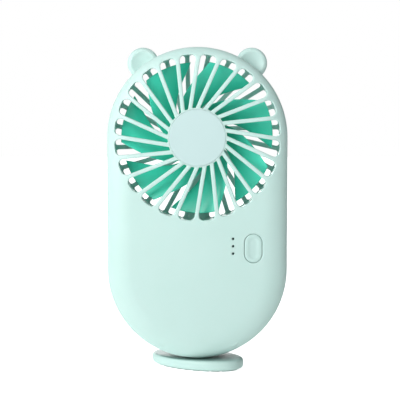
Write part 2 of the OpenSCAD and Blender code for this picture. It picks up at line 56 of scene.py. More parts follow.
# The body: radius of its round ends, half its depth, height of the lower end's centre
END_R = SHELL_HIGH.x
HALF_T = -SHELL_LOW.y
LOW_Z = SHELL_LOW.z + END_R
# Thickness of its side wall, of its face and of the duct's wall
WALL = 1.6 * MM
FACE = 1.8 * MM
DUCT_T = 1.2 * MM
# How far the crown of the face reaches in from the side, and how deep it falls
EDGE_IN = 9 * MM
EDGE_DEEP = 4.5 * MM
# The hollow: half its depth and radius of its round ends
IN_T = HALF_T - FACE
IN_R = END_R - WALL
# The straight bars of the grilles and the gaps between them
FRONT_SLOTS = {"turn": math.radians(9.1), "lean": 4.24 * MM, "bar_w": 1.5 * MM, "r_in": 10.8 * MM,
               "r_out": IN_R - 1.2 * MM, "corner": 1.8 * MM}
REAR_SLOTS = {"turn": math.radians(13.5), "lean": 3 * MM, "bar_w": 1.7 * MM, "r_in": 11.2 * MM,
              "r_out": IN_R - 0.2 * MM, "corner": 0.8 * MM}
BARS = 24
BAR_PITCH = math.tau / BARS
ROUND_STEPS = 72
# Edges that fold more than this stay sharp
SHARP_FROM = math.radians(35)


# ---------------------------------------------------------------- small tools for outlines

def clock(radius, turn):
    """A point at a radius, turned clockwise from the top as seen from the front: (x, z)."""
    return Vector((radius * math.sin(turn), radius * math.cos(turn)))


def turn_of(point):
    """The clockwise turn from the top at which a point lies."""
    return math.atan2(point.x, point.y)


def arc(centre, radius, start, end, steps):
    """Points along an arc, both ends included."""
    return [centre + clock(radius, start + (end - start) * i / steps) for i in range(steps + 1)]


def run(start, end, steps):
    """The points between two ends of a straight side."""
    return [start.lerp(end, i / steps) for i in range(1, steps)]


def pill(radius, steps=ROUND_STEPS):
    """The body's outline at a radius of its round ends, clockwise from the left."""
    top = arc(Vector((0, FAN.z)), radius, -math.pi / 2, math.pi / 2, steps)
    low = arc(Vector((0, LOW_Z)), radius, math.pi / 2, 1.5 * math.pi, steps)
    return top + low


def stadium(width, height, steps=20):
    """An upright bar with round ends about the origin."""
    r = width / 2
    rise = Vector((0, height / 2 - r))
    return arc(rise, r, -math.pi / 2, math.pi / 2, steps) + arc(-rise, r, math.pi / 2, 1.5 * math.pi, steps)


def slot_outline(turn, lean, bar_w, r_in, r_out, round_out, round_in):
    """The gap between two straight bars that pass the axis at a distance, with rounded corners."""
    def corner(direction, side, reach):
        return clock(reach, direction + math.asin(side / reach))

    def near(point):
        angle = turn_of(point)
        return angle + math.tau * round((turn - angle) / math.tau)

    second = turn + BAR_PITCH
    left, right = bar_w / 2 - lean, -bar_w / 2 - lean
    out_1 = corner(turn, left + round_out, r_out - round_out)
    out_2 = corner(second, right - round_out, r_out - round_out)
    in_2 = corner(second, right - round_in, r_in + round_in)
    in_1 = corner(turn, left + round_in, r_in + round_in)
    quarter = math.pi / 2
    outer = (arc(out_1, round_out, turn - quarter, near(out_1), 8)
             + arc(out_2, round_out, near(out_2), second + quarter, 8))
    inner = (arc(in_2, round_in, second + quarter, near(in_2) + math.pi, 5)
             + arc(in_1, round_in, near(in_1) + math.pi, turn + 3 * quarter, 5))
    return outer + run(outer[-1], inner[0], 9) + inner + run(inner[-1], outer[0], 9)


def crown(x, z):
    """How far the outer face falls back from its flat middle at a place."""
    out = math.hypot(x, max(0, z - FAN.z, LOW_Z - z) if not LOW_Z < z < FAN.z else 0)
    share = min(1, max(0, (out - END_R + EDGE_IN) / EDGE_IN))
    return EDGE_DEEP * (1 - math.sqrt(1 - share * share))


# ---------------------------------------------------------------- small tools for meshes

FLAT_WITHIN = 1e-7
WELD_SPUN = 1e-7
WELD_CUT = 2e-6
SLIVER_SPUN = 1e-8
SLIVER_CUT = 1e-6


def is_flat(face):
    middle = face.calc_center_median()
    return all(abs((vert.co - middle).dot(face.normal)) < FLAT_WITHIN for vert in face.verts)


def loft(loops):
    """A closed solid through a row of outlines with the same number of points, by extruding a face."""
    bm = bmesh.new()
    order = bm.verts.layers.int.new("order")
    cap = bm.faces.new([bm.verts.new(p) for p in loops[0]])
    for i, vert in enumerate(cap.verts):
        vert[order] = i
    for step, loop in enumerate(loops[1:]):
        made = bmesh.ops.extrude_face_region(bm, geom=[cap])
        if step:
            bmesh.ops.delete(bm, geom=[cap], context="FACES_ONLY")
        cap = next(g for g in made["geom"] if isinstance(g, bmesh.types.BMFace))
        for vert in cap.verts:
            vert.co = loop[vert[order]]
    bmesh.ops.recalc_face_normals(bm, faces=bm.faces)
    warped = [face for face in bm.faces if not is_flat(face)]
    bmesh.ops.triangulate(bm, faces=warped)
    return bm


def at_depth(outline, y, x=0.0, z=0.0):
    """An outline drawn as seen from the front, placed at a depth."""
    return [Vector((p.x + x, y, p.y + z)) for p in outline]


def turned(profile, centre, axis=Vector((0, 1, 0)), steps=96):
    """A solid of revolution: profile points are (radius, distance along the axis)."""
    axis = Vector(axis)
    side = Vector((1, 0, 0))
    bm = bmesh.new()
    verts = [bm.verts.new(Vector(centre) + side * r + axis * d) for r, d in profile]
    edges = [bm.edges.new(pair) for pair in zip(verts, verts[1:])]
    bmesh.ops.spin(bm, geom=verts + edges, cent=centre, axis=axis, angle=math.tau, steps=steps,
                   use_merge=True)
    bmesh.ops.remove_doubles(bm, verts=bm.verts, dist=WELD_SPUN)
    bmesh.ops.dissolve_degenerate(bm, edges=bm.edges, dist=SLIVER_SPUN)
    bmesh.ops.holes_fill(bm, edges=bm.edges, sides=0)
    bmesh.ops.recalc_face_normals(bm, faces=bm.faces)
    return bm


def block(low, high):
    """A box between two corners."""
    bm = bmesh.new()
    bmesh.ops.create_cube(bm, size=1)
    low, high = Vector(low), Vector(high)
    bmesh.ops.scale(bm, vec=high - low, verts=bm.verts)
    bmesh.ops.translate(bm, vec=(low + high) / 2, verts=bm.verts)
    return bm


def rod(centre, radius, start, end, steps=40):
    """A plain round rod along Y, for cutting or joining."""
    return turned([(0, start), (radius, start), (radius, end), (0, end)], centre, steps=steps)


def joined(parts):
    """Several loose solids in one bmesh."""
    out = bmesh.new()
    for part in parts:
        mesh = bpy.data.meshes.new("part")
        part.to_mesh(mesh)
        part.free()
        out.from_mesh(mesh)
        bpy.data.meshes.remove(mesh)
    return out


def mirrored(bm, axis):
    """A copy of a solid mirrored in the plane across an axis: 0 is X, 1 is Y."""
    out = bm.copy()
    scale = Vector((1, 1, 1))
    scale[axis] = -1
    bmesh.ops.scale(out, vec=scale, verts=out.verts)
    bmesh.ops.reverse_faces(out, faces=out.faces)
    return out


def as_object(name, bm):
    mesh = bpy.data.meshes.new(name)
    bm.to_mesh(mesh)
    bm.free()
    obj = bpy.data.objects.new(name, mesh)
    SCENE.collection.objects.link(obj)
    return obj


def combine(base, tool, operation):
    """base with tool cut away, added or kept in common; both are bmeshes and are used up."""
    body = as_object("base", base)
    other = as_object("tool", tool)
    step = body.modifiers.new("step", "BOOLEAN")
    step.operation = operation
    step.solver = "EXACT"
    step.use_self = True
    step.object = other
    out = bmesh.new()
    out.from_object(body, bpy.context.evaluated_depsgraph_get())
    for obj in (body, other):
        mesh = obj.data
        bpy.data.objects.remove(obj)
        bpy.data.meshes.remove(mesh)
    bmesh.ops.remove_doubles(out, verts=out.verts, dist=WELD_CUT)
    bmesh.ops.dissolve_degenerate(out, edges=out.edges, dist=SLIVER_CUT)
    return out


def piece(name, bm, material, body, replaces):
    """A finished piece of the model from a bmesh, shaded smooth but for its sharp edges."""
    bmesh.ops.recalc_face_normals(bm, faces=bm.faces)
    for face in bm.faces:
        face.smooth = True
    for edge in bm.edges:
        edge.smooth = len(edge.link_faces) == 2 and edge.calc_face_angle(0) < SHARP_FROM
    obj = as_object(name, bm)
    obj.data.materials.append(material)
    even = obj.modifiers.new("even_normals", "WEIGHTED_NORMAL")
    even.keep_sharp = True
    even.weight = 100
    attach(obj, body)
    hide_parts(*replaces)


# ---------------------------------------------------------------- shader groups

def node_group(name, inputs, outputs):
    group = bpy.data.node_groups.new(name, "ShaderNodeTree")
    for label, kind, value in inputs:
        socket = group.interface.new_socket(label, in_out="INPUT", socket_type=kind)
        socket.default_value = value
    for label, kind in outputs:
        group.interface.new_socket(label, in_out="OUTPUT", socket_type=kind)
    return group, group.nodes.new("NodeGroupInput"), group.nodes.new("NodeGroupOutput")


def add(tree, kind, values=None, **settings):
    """A shader node with its settings and the values of its inputs."""
    made = tree.nodes.new(kind)
    for key, value in settings.items():
        setattr(made, key, value)
    for key, value in (values or {}).items():
        made.inputs[key].default_value = value
    return made


def in_millimetres(tree):
    """The place on the object, in millimetres."""
    place = add(tree, "ShaderNodeTexCoord")
    scaled = add(tree, "ShaderNodeVectorMath", {"Scale": 1 / MM}, operation="SCALE")
    tree.links.new(place.outputs["Object"], scaled.inputs[0])
    return scaled.outputs[0]


def scale_for(tree, size, top=1.0):
    """The scale of a pattern whose grains have a size."""
    made = add(tree, "ShaderNodeMath", {0: top}, operation="DIVIDE")
    tree.links.new(size, made.inputs[1])
    return made.outputs[0]


def pattern(tree, kind, where, scale, values=None):
    """A noise or cell texture at a place and a scale that come from other nodes."""
    made = add(tree, kind, values)
    tree.links.new(where, made.inputs["Vector"])
    tree.links.new(scale, made.inputs["Scale"])
    return made


def smooth_mask(tree, value, low, high):
    made = add(tree, "ShaderNodeMapRange", {"From Min": low, "From Max": high},
               interpolation_type="SMOOTHSTEP")
    tree.links.new(value, made.inputs["Value"])
    return made.outputs[0]


def product(tree, first, second, **settings):
    made = add(tree, "ShaderNodeMath", operation="MULTIPLY", **settings)
    tree.links.new(first, made.inputs[0])
    tree.links.new(second, made.inputs[1])
    return made.outputs[0]


def closed_in(tree, reach, open_at):
    """How closed in a place is by what is near it: 0 where open, 1 in a deep corner."""
    hollow = add(tree, "ShaderNodeAmbientOcclusion", samples=8)
    tree.links.new(reach, hollow.inputs["Distance"])
    closed = add(tree, "ShaderNodeMapRange", {"From Min": open_at, "From Max": 0.25})
    tree.links.new(hollow.outputs["AO"], closed.inputs["Value"])
    return closed.outputs[0]


def moulded_grain():
    """The fine spark-eroded grain of a moulded skin, with broad cloudiness under it."""
    group, start, end = node_group(
        "moulded_grain",
        [("Grain Size", "NodeSocketFloat", 0.35), ("Cloud Size", "NodeSocketFloat", 14.0)],
        [("Grain", "NodeSocketFloat"), ("Cloud", "NodeSocketFloat"), ("Pits", "NodeSocketFloat")])
    link = group.links.new
    where = in_millimetres(group)
    per_grain = scale_for(group, start.outputs["Grain Size"])
    per_cloud = scale_for(group, start.outputs["Cloud Size"])
    grain = pattern(group, "ShaderNodeTexNoise", where, per_grain, {"Detail": 3.0, "Roughness": 0.6})
    cloud = pattern(group, "ShaderNodeTexNoise", where, per_cloud, {"Detail": 2.0, "Roughness": 0.5})
    pits = pattern(group, "ShaderNodeTexVoronoi", where, per_grain)
    link(grain.outputs["Fac"], end.inputs["Grain"])
    link(cloud.outputs["Fac"], end.inputs["Cloud"])
    link(pits.outputs["Distance"], end.inputs["Pits"])
    return group


def handling():
    """Faint smears and hairline scuffs from being held, as two masks."""
    group, start, end = node_group(
        "handling",
        [("Smear Size", "NodeSocketFloat", 9.0), ("Scuff Size", "NodeSocketFloat", 2.0)],
        [("Smear", "NodeSocketFloat"), ("Scuff", "NodeSocketFloat")])
    link = group.links.new
    where = in_millimetres(group)
    smear = pattern(group, "ShaderNodeTexNoise", where, scale_for(group, start.outputs["Smear Size"]),
                    {"Detail": 4.0, "Roughness": 0.55, "Distortion": 1.2})
    stretch = add(group, "ShaderNodeMapping", {"Scale": (1.0, 1.0, 0.08), "Rotation": (0.2, 0.5, 0.3)})
    link(where, stretch.inputs["Vector"])
    scuff = pattern(group, "ShaderNodeTexNoise", stretch.outputs[0],
                    scale_for(group, start.outputs["Scuff Size"], 4.0), {"Detail": 2.0, "Roughness": 0.4})
    link(smooth_mask(group, smear.outputs["Fac"], 0.48, 0.72), end.inputs["Smear"])
    link(smooth_mask(group, scuff.outputs["Fac"], 0.70, 0.78), end.inputs["Scuff"])
    return group


def settled_dust():
    """Dust in corners, in broken patches, as a mask."""
    group, start, end = node_group(
        "settled_dust",
        [("Reach", "NodeSocketFloat", 0.0012), ("Amount", "NodeSocketFloat", 0.3)],
        [("Dust", "NodeSocketFloat")])
    link = group.links.new
    closed = closed_in(group, start.outputs["Reach"], 0.85)
    place = add(group, "ShaderNodeTexCoord")
    patch = add(group, "ShaderNodeTexNoise", {"Scale": 420.0, "Detail": 3.0})
    link(place.outputs["Object"], patch.inputs["Vector"])
    broken = product(group, closed, patch.outputs["Fac"])
    link(product(group, broken, start.outputs["Amount"], use_clamp=True), end.inputs["Dust"])
    return group


def painted_contact_shade():
    """How closed in an upward face is by what stands over it, as a mask for painted shade: a darker tone
    where other parts shade it.
    """
    group, start, end = node_group(
        "painted_contact_shade", [("Reach", "NodeSocketFloat", 0.01)], [("Shade", "NodeSocketFloat")])
    closed = closed_in(group, start.outputs["Reach"], 0.95)
    facing = add(group, "ShaderNodeNewGeometry")
    parts = add(group, "ShaderNodeSeparateXYZ")
    group.links.new(facing.outputs["Normal"], parts.inputs[0])
    upward = add(group, "ShaderNodeMapRange", {"From Min": 0.5, "From Max": 0.9})
    group.links.new(parts.outputs["Z"], upward.inputs["Value"])
    group.links.new(product(group, closed, upward.outputs[0]), end.inputs["Shade"])
    return group


GRAIN = moulded_grain()
PAINTED_SHADE_GROUP = painted_contact_shade()
HANDLING = handling()
DUST = settled_dust()


# ---------------------------------------------------------------- materials

DUST_COLOUR = (0.62, 0.62, 0.58)
# How far the painted shade under other parts reaches
PAINTED_SHADE_REACH = 12 * MM


def grouped(tree, group, **values):
    """A group in a material's tree, with the values of its inputs."""
    made = tree.nodes.new("ShaderNodeGroup")
    made.node_tree = group
    for key, value in values.items():
        made.inputs[key.replace("_", " ")].default_value = value
    return made


def empty_material(name):
    material = bpy.data.materials.new(name)
    material.use_nodes = True
    tree = material.node_tree
    return material, tree, tree.nodes["Principled BSDF"]


def two_tone(tree, mask, low, high, first, second):
    """A colour that goes from first to second as a mask goes from low to high."""
    ramp = add(tree, "ShaderNodeMapRange", {"From Min": low, "From Max": high})
    tree.links.new(mask, ramp.inputs["Value"])
    mix = add(tree, "ShaderNodeMix", data_type="RGBA")
    mix.inputs["A"].default_value = (*first, 1)
    mix.inputs["B"].default_value = (*second, 1)
    tree.links.new(ramp.outputs[0], mix.inputs["Factor"])
    return mix.outputs["Result"]


def over(tree, below, mask, colour):
    """A colour laid over another by a mask."""
    mix = add(tree, "ShaderNodeMix", data_type="RGBA")
    tree.links.new(below, mix.inputs["A"])
    mix.inputs["B"].default_value = (*colour, 1)
    tree.links.new(mask, mix.inputs["Factor"])
    return mix.outputs["Result"]


def from_mask(tree, mask, low, high):
    """A value between low and high by a mask."""
    ramp = add(tree, "ShaderNodeMapRange", {"To Min": low, "To Max": high})
    tree.links.new(mask, ramp.inputs["Value"])
    return ramp.outputs[0]


def summed(tree, *values):
    """The sum of several values, held to 1."""
    total = values[0]
    for value in values[1:]:
        both = add(tree, "ShaderNodeMath", operation="ADD", use_clamp=True)
        tree.links.new(total, both.inputs[0])
        tree.links.new(value, both.inputs[1])
        total = both.outputs[0]
    return total


def bumped(tree, shader, height, strength, depth):
    bump = add(tree, "ShaderNodeBump", {"Strength": strength, "Distance": depth})
    tree.links.new(height, bump.inputs["Height"])
    tree.links.new(bump.outputs[0], shader.inputs["Normal"])


def moulded_plastic(name, colour, shade, rough, grain=0.35, coat=0.0, soft=0.0, dust=0.25, closed=None):
    """Moulded plastic: cloudy colour, grain, smears, scuffs and a little dust in the corners; given a
    closed colour, also painted shade on upward faces under other parts.
    """
    material, tree, shader = empty_material(name)
    link = tree.links.new
    skin = grouped(tree, GRAIN, Grain_Size=grain, Cloud_Size=16.0)
    hands = grouped(tree, HANDLING)
    dirt = grouped(tree, DUST, Amount=dust)
    tone = two_tone(tree, skin.outputs["Cloud"], 0.3, 0.7, colour, shade)
    # Painted shade: the closed colour laid over upward faces that other parts close in, where shade falls
    if closed:
        near = grouped(tree, PAINTED_SHADE_GROUP, Reach=PAINTED_SHADE_REACH)
        tone = over(tree, tone, near.outputs["Shade"], closed)
    link(over(tree, tone, dirt.outputs["Dust"], DUST_COLOUR), shader.inputs["Base Color"])
    gloss = from_mask(tree, skin.outputs["Grain"], rough - 0.05, rough + 0.06)
    smear = from_mask(tree, hands.outputs["Smear"], 0.0, 0.05)
    scuff = from_mask(tree, hands.outputs["Scuff"], 0.0, 0.06)
    link(summed(tree, gloss, smear, scuff), shader.inputs["Roughness"])
    shader.inputs["IOR"].default_value = 1.49
    shader.inputs["Coat Weight"].default_value = coat
    shader.inputs["Coat Roughness"].default_value = 0.25
    shader.inputs["Subsurface Weight"].default_value = soft
    shader.inputs["Subsurface Radius"].default_value = (0.002, 0.003, 0.003)
    shader.inputs["Subsurface Scale"].default_value = 1.0
    bumped(tree, shader, skin.outputs["Pits"], 0.10, 0.02 * MM)
    return material


def metal(name, colour, shade, rough, stretch=(1, 1, 1), size=0.5):
    """Bare or plated metal with drawn or turned lines, fine scratches and dulled patches."""
    material, tree, shader = empty_material(name)
    link = tree.links.new
    place = add(tree, "ShaderNodeTexCoord")
    along = add(tree, "ShaderNodeMapping", {"Scale": stretch})
    link(place.outputs["Object"], along.inputs["Vector"])
    lines = add(tree, "ShaderNodeTexNoise", {"Scale": 1000 / size, "Detail": 4.0, "Roughness": 0.65})
    link(along.outputs[0], lines.inputs["Vector"])
    hands = grouped(tree, HANDLING, Smear_Size=4.0)
    tone = two_tone(tree, lines.outputs["Fac"], 0.35, 0.65, colour, shade)
    link(tone, shader.inputs["Base Color"])
    gloss = from_mask(tree, lines.outputs["Fac"], rough - 0.06, rough + 0.1)
    link(summed(tree, gloss, from_mask(tree, hands.outputs["Smear"], 0.0, 0.12)),
         shader.inputs["Roughness"])
    shader.inputs["Metallic"].default_value = 1.0
    bumped(tree, shader, lines.outputs["Fac"], 0.15, 0.01 * MM)
    return material


MINT = moulded_plastic("mint_shell_plastic", (0.485, 0.665, 0.63), (0.47, 0.655, 0.615), 0.42, soft=0.12)
# The foot's top gets painted shade under the body: a dark teal-grey where the body closes it in
FOOT_MINT = moulded_plastic("mint_foot_plastic_painted_shade", (0.485, 0.665, 0.63), (0.47, 0.655, 0.615), 0.42,
                            closed=(0.10, 0.21, 0.19), dust=0.1)
MINT_BUTTON = moulded_plastic("mint_button_plastic", (0.455, 0.635, 0.60), (0.44, 0.625, 0.585), 0.38)
CAP_MINT = moulded_plastic("mint_cap_plastic", (0.475, 0.625, 0.62), (0.465, 0.615, 0.61), 0.40, grain=0.3)
TEAL = moulded_plastic("teal_wheel_plastic", (0.05, 0.64, 0.46), (0.045, 0.61, 0.43), 0.34, grain=0.5,
                       coat=0.15, soft=0.05)
BLACK = moulded_plastic("black_plastic", (0.03, 0.03, 0.032), (0.022, 0.022, 0.024), 0.45)
RUBBER = moulded_plastic("black_rubber", (0.028, 0.028, 0.028), (0.02, 0.02, 0.02), 0.72, grain=0.2)
PAD_RUBBER = moulded_plastic("pad_rubber", (0.34, 0.44, 0.42), (0.31, 0.41, 0.39), 0.75, grain=0.25)
BRIGHT = metal("bright_steel", (0.72, 0.72, 0.70), (0.62, 0.62, 0.61), 0.24)
CAN = metal("nickel_can", (0.66, 0.66, 0.62), (0.55, 0.55, 0.53), 0.28, stretch=(1, 0.05, 1))
IRON = metal("core_iron", (0.30, 0.30, 0.31), (0.20, 0.20, 0.21), 0.42, stretch=(0.05, 1, 0.05))
COPPER = metal("copper", (0.90, 0.48, 0.28), (0.78, 0.38, 0.22), 0.22, stretch=(0.1, 1, 0.1))
BRONZE = metal("bronze", (0.68, 0.48, 0.24), (0.56, 0.40, 0.20), 0.38)
WINDING = metal("enamelled_wire", (0.72, 0.30, 0.10), (0.46, 0.16, 0.05), 0.20, stretch=(0.1, 1.5, 0.1),
                size=0.25)
FERRITE = moulded_plastic("ferrite", (0.05, 0.05, 0.055), (0.03, 0.03, 0.034), 0.55, grain=0.15)
CHIP = moulded_plastic("chip_resin", (0.035, 0.035, 0.037), (0.025, 0.025, 0.027), 0.5, grain=0.12)
LIGHT_RESIN = moulded_plastic("light_resin", (0.80, 0.76, 0.42), (0.74, 0.70, 0.36), 0.25, grain=0.3)
FOAM = moulded_plastic("pad_foam", (0.10, 0.10, 0.11), (0.07, 0.07, 0.075), 0.9, grain=0.6)
RED_COVER = moulded_plastic("red_wire_cover", (0.55, 0.03, 0.025), (0.45, 0.02, 0.02), 0.4, grain=0.3)
BLACK_COVER = moulded_plastic("black_wire_cover", (0.02, 0.02, 0.02), (0.014, 0.014, 0.014), 0.4, grain=0.3)
GUIDE = moulded_plastic("smoked_guide", (0.012, 0.05, 0.045), (0.010, 0.04, 0.036), 0.16, coat=0.4)


def board_laminate():
    """Green lacquer over copper tracks, with the tracks standing a hair proud."""
    material, tree, shader = empty_material("board_laminate")
    link = tree.links.new
    place = add(tree, "ShaderNodeTexCoord")
    grid = add(tree, "ShaderNodeTexBrick", {"Scale": 260.0, "Mortar Size": 0.09, "Mortar Smooth": 0.1})
    flat = add(tree, "ShaderNodeMapping", {"Rotation": (math.pi / 2, 0, 0)})
    link(place.outputs["Object"], flat.inputs["Vector"])
    link(flat.outputs[0], grid.inputs["Vector"])
    skin = grouped(tree, GRAIN, Grain_Size=0.4, Cloud_Size=6.0)
    tone = two_tone(tree, skin.outputs["Cloud"], 0.3, 0.7, (0.012, 0.13, 0.045), (0.010, 0.10, 0.035))
    link(over(tree, tone, grid.outputs["Fac"], (0.03, 0.24, 0.09)), shader.inputs["Base Color"])
    link(from_mask(tree, skin.outputs["Grain"], 0.22, 0.34), shader.inputs["Roughness"])
    bumped(tree, shader, grid.outputs["Fac"], 0.4, 0.03 * MM)
    return material


def cell_foil():
    """The dull crinkled foil pouch of the cell."""
    material, tree, shader = empty_material("cell_foil")
    link = tree.links.new
    place = add(tree, "ShaderNodeTexCoord")
    crinkle = add(tree, "ShaderNodeTexNoise", {"Scale": 160.0, "Detail": 5.0, "Roughness": 0.6,
                                               "Distortion": 1.5})
    link(place.outputs["Object"], crinkle.inputs["Vector"])
    tone = two_tone(tree, crinkle.outputs["Fac"], 0.35, 0.65, (0.62, 0.63, 0.65), (0.50, 0.51, 0.53))
    link(tone, shader.inputs["Base Color"])
    link(from_mask(tree, crinkle.outputs["Fac"], 0.28, 0.5), shader.inputs["Roughness"])
    shader.inputs["Metallic"].default_value = 0.9
    bumped(tree, shader, crinkle.outputs["Fac"], 0.35, 0.15 * MM)
    return material


CAD_FINISH = {
    "motor_retainer": MINT, "foot_spindle": MINT, "motor_shaft": BRIGHT, "case_screws": BRIGHT,
    "board_screws": BRIGHT, "foot_screw": BRIGHT, "usb_socket": BRIGHT, "motor_can": CAN,
    "motor_end_cap": CAN, "rotor_core": IRON, "rotor_windings": WINDING, "commutator": COPPER,
    "motor_brushes": COPPER, "motor_bushes": BRONZE, "motor_magnets": FERRITE, "motor_cushion": RUBBER,
    "friction_ring": RUBBER, "switch_body": BLACK, "switch_plunger": BLACK, "usb_tongue": BLACK,
    "board_chips": CHIP, "indicator_lights": LIGHT_RESIN, "circuit_board": board_laminate(),
    "battery_cell": cell_foil(), "battery_pad": FOAM, "motor_wires": RED_COVER,
    "battery_wires": BLACK_COVER,
}


def finish_cad_nodes():
    """Every node that keeps its shape gets the finish of its material."""
    for name, material in CAD_FINISH.items():
        for slot in frame["nodes"][name].material_slots:
            slot.material = material


# ---------------------------------------------------------------- shells

CHAMFER = 0.25 * MM
CROWN_STEPS = 16
EAR_R = 5.75 * MM
EAR_RIM = 1.5 * MM
EAR_DISH = 0.9 * MM
EAR_HALF = 5.5 * MM
EAR_REACH = 33.8 * MM
EAR_LEAN = math.radians(36.2)
CAP_R = 10.3 * MM
BUTTON = Vector((20.4 * MM, 45.6 * MM))
BUTTON_W = 6.4 * MM
BUTTON_H = 10.5 * MM
LIGHTS = [Vector((13 * MM, 46.4 * MM + i * 2.7 * MM)) for i in (-1, 0, 1)]
CASE_SCREWS = [Vector((side * x * MM, z * MM)) for x, z in ((27.8, 57), (12.5, 12)) for side in (-1, 1)]
BOARD_SCREWS = [Vector((8 * MM, 34.5 * MM)), Vector((26.5 * MM, 34.5 * MM))]
CAP_PEG_R = 1.5 * MM
CASE_POST_R = 2.6 * MM
CASE_SOCKET_R = 3.3 * MM
CASE_PILOT_R = 1.1 * MM
CASE_HEAD_R = 2.4 * MM
CASE_THREAD_R = 1.25 * MM
BOARD_POST_R = 2.2 * MM
BOARD_PILOT_R = 0.8 * MM
CUP_R = 10.9 * MM
CUP_IN_R = 9.6 * MM
# A cutter starts or ends this far outside the skin that it goes through
CLEAR = 1 * MM
FAR_OUT = 20 * MM
# How a cut's edge is rounded, in mm: how far it opens beyond its outline, at depths below the skin
SOFT_EDGE = ((0.50, -0.14), (0.38, 0), (0.24, 0.04), (0.11, 0.13), (0.03, 0.28), (0, 0.46), (0, 1.4))
FINE_EDGE = ((0.40, -0.08), (0.30, 0), (0.17, 0.04), (0.06, 0.12), (0, 0.26), (0, 0.7), (0.1, 0.8),
             (0.1, 4.5))


def crowned(start, flat_y, edge_in, edge_deep, chamfer):
    """A pill-shaped solid from a depth to a flat face, with a quarter-ellipse crown round the edge."""
    loops = [at_depth(pill(END_R - EDGE_IN + edge_in - chamfer), start)]
    if chamfer:
        loops.append(at_depth(pill(END_R), start - chamfer))
    for i in range(CROWN_STEPS + 1):
        rise = 0.5 * math.pi * i / CROWN_STEPS
        radius = END_R - EDGE_IN + edge_in * math.cos(rise)
        loops.append(at_depth(pill(radius), flat_y + edge_deep * (1 - math.sin(rise))))
    return loft(loops)


def ear(side):
    """Half an ear: a round-rimmed disc with a dished face."""
    profile = [(0, 0), (EAR_R - CHAMFER, 0), (EAR_R, -CHAMFER)]
    for i in range(9):
        a = 0.5 * math.pi * i / 8
        profile.append((EAR_R - EAR_RIM + EAR_RIM * math.cos(a), -EAR_HALF + EAR_RIM * (1 - math.sin(a))))
    dish = EAR_R - EAR_RIM
    for share in (0.94, 0.82, 0.68, 0.52, 0.36, 0.18, 0):
        profile.append((dish * share, -EAR_HALF + EAR_DISH * (1 - share * share)))
    centre = Vector((side * EAR_REACH * math.sin(EAR_LEAN), 0, FAN.z + EAR_REACH * math.cos(EAR_LEAN)))
    return turned(profile, centre, steps=64)


def duct_wall():
    """The lower half of the ring that parts the air path from the compartment below it."""
    fan = Vector((0, FAN.z))
    start, end = math.radians(93), math.radians(267)
    sink = 0.9 * MM
    outline = (arc(fan, IN_R + DUCT_T, start, end, ROUND_STEPS)
               + arc(fan, IN_R, end, start, ROUND_STEPS))
    front = [Vector((p.x, -HALF_T + crown(p.x, p.y) + sink, p.y)) for p in outline]
    return loft([at_depth(outline, 0), front])


def spindle_block():
    """Half the block round the foot's spindle, a hair clear of the seam of the shells."""
    r, seam, low, high = 8.4 * MM, 0.05 * MM, 5.9 * MM, 12 * MM
    half_disc = [Vector((-r * math.cos(math.pi * i / 40), -seam - r * math.sin(math.pi * i / 40)))
                 for i in range(41)]
    return loft([[Vector((p.x, p.y, z)) for p in half_disc] for z in (low, high)])


def spindle_room():
    """The bore of the foot's spindle, with the wider room of its flange."""
    r, flange, mouth, low, high = 4.06 * MM, 6.7 * MM, 3 * MM, 8.2 * MM, 10.4 * MM
    return turned([(0, mouth), (r, mouth), (r, low), (flange, low), (flange, high), (0, high)],
                  Vector(), axis=(0, 0, 1), steps=64)


def slot_cutters(turn, lean, bar_w, r_in, r_out, corner):
    """The gaps of a front grille, following the crown of the face, with their edges rounded over."""
    end_deep, round_in = 4.2, 0.3 * MM
    cutters = []
    for k in range(BARS):
        loops = []
        for out, deep in (*SOFT_EDGE, (0, end_deep)):
            out, deep = out * MM, deep * MM
            outline = slot_outline(turn + BAR_PITCH * k, lean, bar_w - 2 * out, r_in - out * 0.6,
                                   r_out + out, corner + out, round_in + out)
            if not loops:
                loops.append(at_depth(outline, -HALF_T - CLEAR, z=FAN.z))
            loops.append([Vector((p.x, -HALF_T + crown(p.x, p.y + FAN.z) + deep, p.y + FAN.z))
                          for p in outline])
        cutters.append(loft(loops))
    return joined(cutters)


def button_hole():
    """The hole of the button, with eased edges."""
    width, height = BUTTON_W + 0.2 * MM, BUTTON_H + 0.2 * MM
    loops = []
    for out, deep in FINE_EDGE:
        wider = 2 * out * MM
        outline = [p + BUTTON for p in stadium(width + wider, height + wider)]
        loops.append(at_depth(outline, -HALF_T + deep * MM))
    return loft(loops)


def light_hole(at):
    """The hole of one light pin, countersunk a little."""
    r, mouth, ease, deep = 0.5 * MM, 0.3 * MM, 0.12 * MM, 3 * MM
    return turned([(0, -CLEAR), (r + mouth, -CLEAR), (r + ease, 0), (r, ease), (r, deep), (0, deep)],
                  Vector((at.x, -HALF_T, at.y)), steps=32)


def usb_hole():
    """The slot of the charging inlet, rounded along its length."""
    bm = block((END_R - 2.6 * MM, -5.9 * MM, 37.9 * MM), (END_R + CLEAR, -2.6 * MM, 46.1 * MM))
    along = [e for e in bm.edges if abs((e.verts[0].co - e.verts[1].co).x) > MM]
    bmesh.ops.bevel(bm, geom=along, offset=1.0 * MM, offset_type="OFFSET", segments=5, profile=0.5,
                    affect="EDGES", material=-1)
    return bm


def rods(places, radius, start, end):
    """A rod at each place of a list."""
    return [rod(Vector((p.x, 0, p.y)), radius, start, end) for p in places]


def plain_half():
    """What both shells share: skin, ears, duct wall and spindle block, with the front half's signs."""
    shell = crowned(0, -HALF_T, EDGE_IN, EDGE_DEEP, CHAMFER)
    shell = combine(shell, joined([ear(-1), ear(1)]), "UNION")
    hollow = crowned(CLEAR, -IN_T, EDGE_IN - WALL, EDGE_DEEP - FACE, 0)
    shell = combine(shell, hollow, "DIFFERENCE")
    return combine(shell, joined([duct_wall(), spindle_block()]), "UNION")


